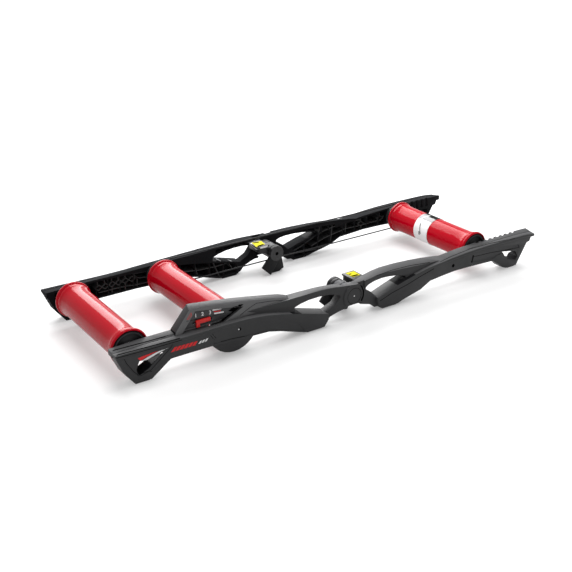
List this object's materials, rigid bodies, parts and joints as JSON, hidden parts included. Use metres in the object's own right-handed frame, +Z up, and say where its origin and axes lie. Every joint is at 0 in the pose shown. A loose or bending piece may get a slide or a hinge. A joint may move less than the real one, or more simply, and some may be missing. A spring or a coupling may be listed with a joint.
{
  "type": "bike rollers",
  "caption": "Folding bicycle training rollers: glossy red drums in a hinged frame of black moulded rails, with a belt drive and a magnetic brake set by a red slider.",
  "frame": {"origin": "centre of the footprint at floor level", "axes": "+X towards the single front drum, +Y towards the belt side, +Z up"},
  "size_m": [1.4021, 0.476, 0.1546],
  "materials": {
    "frame_plastic": "fine-grained black moulded plastic",
    "drum_red": "glossy red",
    "black_plastic": "satin black plastic",
    "pad_rubber": "soft black rubber",
    "steel": "bright drawn steel",
    "barrel_grey": "light grey, satin",
    "disc_aluminium": "turned aluminium",
    "slider_red": "satin red",
    "belt_rubber": "black round cord",
    "band_white": "white printed film, left plain"
  },
  "bodies": {
    "rear_frame": {"rear_rail_far": "frame_plastic", "rear_rail_near": "frame_plastic", "rear_end_pad_far": "pad_rubber", "rear_end_pad_near": "pad_rubber", "rear_middle_pad_far": "pad_rubber", "rear_middle_pad_near": "pad_rubber", "rear_axle": "steel", "middle_axle": "steel", "rear_axle_spacer": "steel", "middle_axle_spacer": "steel", "brake_hood": "frame_plastic", "setting_panel": "black_plastic", "hinge_spindle_far": "steel", "hinge_spindle_near": "steel", "hinge_disc_far": "black_plastic", "hinge_disc_near": "black_plastic", "rear_leg_far": "black_plastic", "rear_leg_near": "black_plastic", "guard_plate_far": "black_plastic", "drive_belt": "belt_rubber"},
    "front_frame": {"front_rail_far": "frame_plastic", "front_rail_near": "frame_plastic", "front_end_pad_far": "pad_rubber", "front_end_pad_near": "pad_rubber", "front_middle_pad_far": "pad_rubber", "front_middle_pad_near": "pad_rubber", "front_axle": "steel", "front_axle_spacer": "steel", "front_leg_far": "black_plastic", "front_leg_near": "black_plastic", "hinge_barrel_far": "barrel_grey", "hinge_barrel_near": "barrel_grey", "guard_plate_near": "black_plastic"},
    "rear_drum": {"rear_drum": "drum_red", "rear_cap_far": "black_plastic", "rear_cap_near": "black_plastic", "rear_bearing_far": "steel", "rear_bearing_near": "steel"},
    "middle_drum": {"middle_drum": "drum_red", "middle_cap_far": "black_plastic", "middle_cap_near": "black_plastic", "middle_bearing_far": "steel", "middle_bearing_near": "steel", "brake_disc": "disc_aluminium"},
    "front_drum": {"front_drum": "drum_red", "front_cap_far": "black_plastic", "front_cap_near": "black_plastic", "front_bearing_far": "steel", "front_bearing_near": "steel", "front_drum_band": "band_white"},
    "resistance_slider": {"setting_slider": "slider_red", "magnet_carrier": "steel", "magnet_1": "steel", "magnet_2": "steel"}
  },
  "joints": [
    {"name": "frame_fold", "type": "hinge", "parent": "rear_frame", "child": "front_frame", "pos_m": [-0.0026, 0, 0.0656], "axis": [0, -1, 0], "range_deg": [0, 90], "deforming": ["drive_belt"]},
    {"name": "rear_spin", "type": "hinge", "parent": "rear_frame", "child": "rear_drum", "pos_m": [-0.642, 0, 0.077], "axis": [0, 1, 0], "continuous": true},
    {"name": "middle_spin", "type": "hinge", "parent": "rear_frame", "child": "middle_drum", "pos_m": [-0.375, 0, 0.077], "axis": [0, 1, 0], "continuous": true},
    {"name": "front_spin", "type": "hinge", "parent": "front_frame", "child": "front_drum", "pos_m": [0.492, 0, 0.077], "axis": [0, 1, 0], "continuous": true},
    {"name": "setting_slide", "type": "slide", "parent": "rear_frame", "child": "resistance_slider", "axis": [1, 0, 0], "range_m": [-0.02, 0.02]}
  ],
  "couplings": [
    {"joint": "front_spin", "follows": "middle_spin", "ratio": 1}
  ]
}
